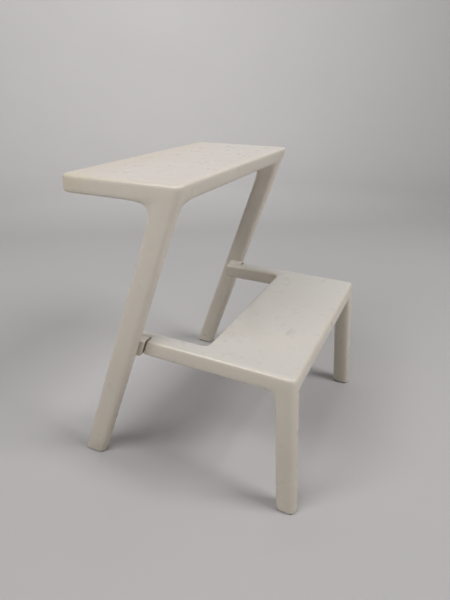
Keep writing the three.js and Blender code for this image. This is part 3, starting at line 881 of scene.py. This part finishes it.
for unit, height in (("upper", top["height"]), ("lower", step["height"])):
    x0, x1, y0, y1, bottom = coverArea(unit + "_cover")
    (cx, cy), (spanX, spanY) = screwPlaces(unit)
    ceiling = height - hollow["skin"] + inside["sunk"]
    coverTop = bottom + hollow["cover"]
    body = unit + "_unit"
    corners = {"Spread X": spanX * mm, "Spread Y": spanY * mm, "Columns": 2, "Rows": 2}
    handIn(coverPlate(unit), body, "cover", unit + "_cover")
    screwLevel = nodeBox(unit + "_screw_1")[0].z
    screws = repeated(unit + "_screws", screwSource(), {
        "Centre": (cx * mm, cy * mm, screwLevel * mm), "Turn": math.pi, "Finish": materials["steel"],
        **corners})
    handIn(screws, body, "steel", *[f"{unit}_screw_{number}" for number in range(1, 5)])
    postLevel = coverTop + hollow["gap"]
    posts = repeated(unit + "_screw_posts", postSource(ceiling - postLevel), {
        "Centre": (cx * mm, cy * mm, postLevel * mm), "Finish": materials["shell"], **corners})
    handIn(posts, body, "shell")
    deep = y1 - y0 - 2 * hollow["ledge"] + 2 * inside["sunk"]
    tall = ceiling - coverTop - inside["ribDrop"]
    gapX = (x1 - x0 - 2 * hollow["ledge"]) / (inside["ribs"] + 1)
    ribs = repeated(unit + "_ribs", ribSource(deep, tall), {
        "Centre": ((x0 + x1) / 2 * mm, (y0 + y1) / 2 * mm, (coverTop + inside["ribDrop"]) * mm),
        "Spread X": gapX * (inside["ribs"] - 1) * mm, "Spread Y": 0.0,
        "Columns": inside["ribs"], "Rows": 1, "Finish": materials["shell"]})
    handIn(ribs, body, "shell")
    print(unit, "screws, posts, ribs:", [len(piece.data.polygons) for piece in (screws, posts, ribs)])


studio = dict(
    middle=0.5, flat=2.4, bend=1.4, height=3.2,   # the backdrop, in metres
    bendSteps=12, around=96,
    lampColour=(1.0, 0.99, 0.975),
    airColour=(0.93, 0.95, 1.0, 1), air=0.03)


def backdrop():
    # a round floor whose rim sweeps up into a wall
    profile = [(0, 0), (studio["middle"], 0), (studio["flat"], 0)]
    for s in range(1, studio["bendSteps"] + 1):
        angle = s / studio["bendSteps"] * math.pi / 2
        profile.append((studio["flat"] + studio["bend"] * math.sin(angle),
                        studio["bend"] * (1 - math.cos(angle))))
    profile.append((studio["flat"] + studio["bend"], studio["height"]))
    points, faces = [(0, 0, 0)], []
    around = studio["around"]
    for radius, level in profile[1:]:
        for s in range(around):
            angle = 2 * math.pi * s / around
            points.append((radius * math.cos(angle) / mm, radius * math.sin(angle) / mm, level / mm))
    for s in range(around):
        t = (s + 1) % around
        faces.append([0, 1 + s, 1 + t])
        for ring in range(len(profile) - 2):
            near, far = 1 + ring * around, 1 + (ring + 1) * around
            faces.append([near + s, far + s, far + t, near + t])
    floor = newPiece("backdrop", newMesh("backdrop", points, faces))
    floor.data.shade_smooth()
    floor.data.materials.append(twoTone(backdropLook))


def softBox(name, place, aim, size, power):
    lamp = bpy.data.lights.new(name, "AREA")
    lamp.shape = "RECTANGLE"
    lamp.size, lamp.size_y = size
    lamp.energy = power
    lamp.color = studio["lampColour"]
    box = bpy.data.objects.new(name, lamp)
    bpy.context.scene.collection.objects.link(box)
    box.location = place
    box.rotation_euler = (Vector(aim) - Vector(place)).to_track_quat("-Z", "Y").to_euler()


lamps = (                         # name, place, what it points at, size, watts
    ("front lamp", (0.1, -1.9, 2.3), (0, 0, 0.2), (1.0, 1.0), 42),
    ("ceiling lamp", (0.05, -0.1, 2.8), (0, 0, 0.2), (0.35, 0.35), 4.5),
    ("side lamp", (-1.9, 0.0, 2.3), (0, 0, 0.2), (1.0, 1.0), 14),
    ("rear side lamp", (-1.7, 1.0, 2.3), (0, 0, 0.2), (1.0, 1.0), 23),
    ("wall lamp", (1.2, 0.8, 2.0), (3.6, 2.4, 1.7), (1.2, 1.2), 34),
    ("far floor lamp", (0.4, 0.6, 2.6), (2.6, 2.2, 1.2), (1.4, 1.4), 27))

backdrop()
for name, place, aim, size, power in lamps:
    softBox(name, place, aim, size, power)

world = bpy.data.worlds.new("studio air")
bpy.context.scene.world = world
world.use_nodes = True
air = world.node_tree.nodes["Background"]
air.inputs["Color"].default_value = studio["airColour"]
air.inputs["Strength"].default_value = studio["air"]

shot = dict(place=(-717.6, -318.5, 621.2), heading=64.16, pitch=-24.15, roll=0.15,
            sensor=36, lens=27.83, shift=(0.0066, -0.0195), clip=(0.01, 50))


def makeCamera():
    data = bpy.data.cameras.new("camera")
    camera = bpy.data.objects.new("camera", data)
    bpy.context.scene.collection.objects.link(camera)
    heading, pitch = math.radians(shot["heading"]), math.radians(shot["pitch"])
    look = Vector((math.sin(heading) * math.cos(pitch), math.cos(heading) * math.cos(pitch),
                   math.sin(pitch)))
    level = look.to_track_quat("-Z", "Y").to_matrix()
    turn = level @ Matrix.Rotation(math.radians(shot["roll"]), 3, "Z")
    camera.matrix_world = Matrix.Translation(Vector(shot["place"]) * mm) @ turn.to_4x4()
    data.sensor_width = shot["sensor"]
    data.lens = shot["lens"]
    data.shift_x, data.shift_y = shot["shift"]
    data.clip_start, data.clip_end = shot["clip"]
    bpy.context.scene.camera = camera


makeCamera()
bpy.context.scene.view_settings.view_transform = "Standard"
print("scene ready")
